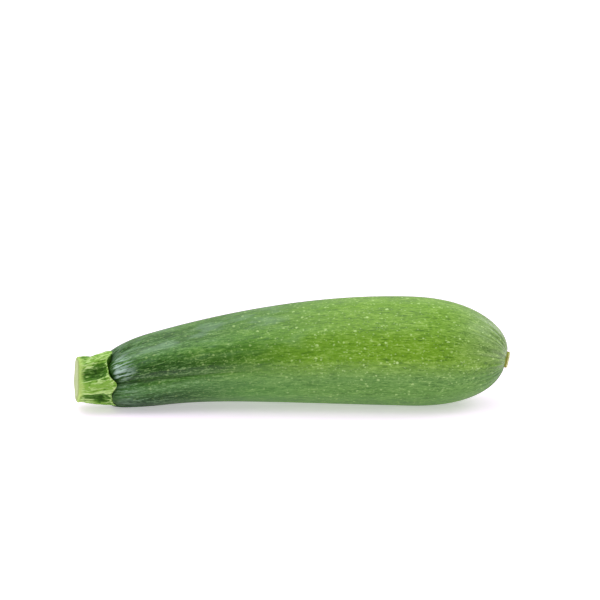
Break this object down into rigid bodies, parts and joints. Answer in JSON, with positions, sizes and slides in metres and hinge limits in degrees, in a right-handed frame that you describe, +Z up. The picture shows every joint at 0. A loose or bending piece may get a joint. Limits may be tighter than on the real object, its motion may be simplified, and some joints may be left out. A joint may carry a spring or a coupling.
{
  "type": "courgette",
  "caption": "Whole courgette lying on its side, gently bent and thicker towards the blossom end, with its cut ribbed stem.",
  "frame": {"origin": "middle of the bounding box, on the surface that the courgette lies on", "axes": "+X along the length from the stem to the blossom end, +Z up, -Y towards the side that the picture shows"},
  "size_m": [0.2014, 0.0516, 0.0499],
  "materials": {
    "skin": "thin waxy skin, satin, green with pale flecks",
    "stem": "fibrous ridged stalk, pale at the cut",
    "scar": "dry cork, matt"
  },
  "bodies": {
    "root": {"fruit": "skin", "stem": "stem", "blossom_scar": "scar"}
  },
  "joints": []
}
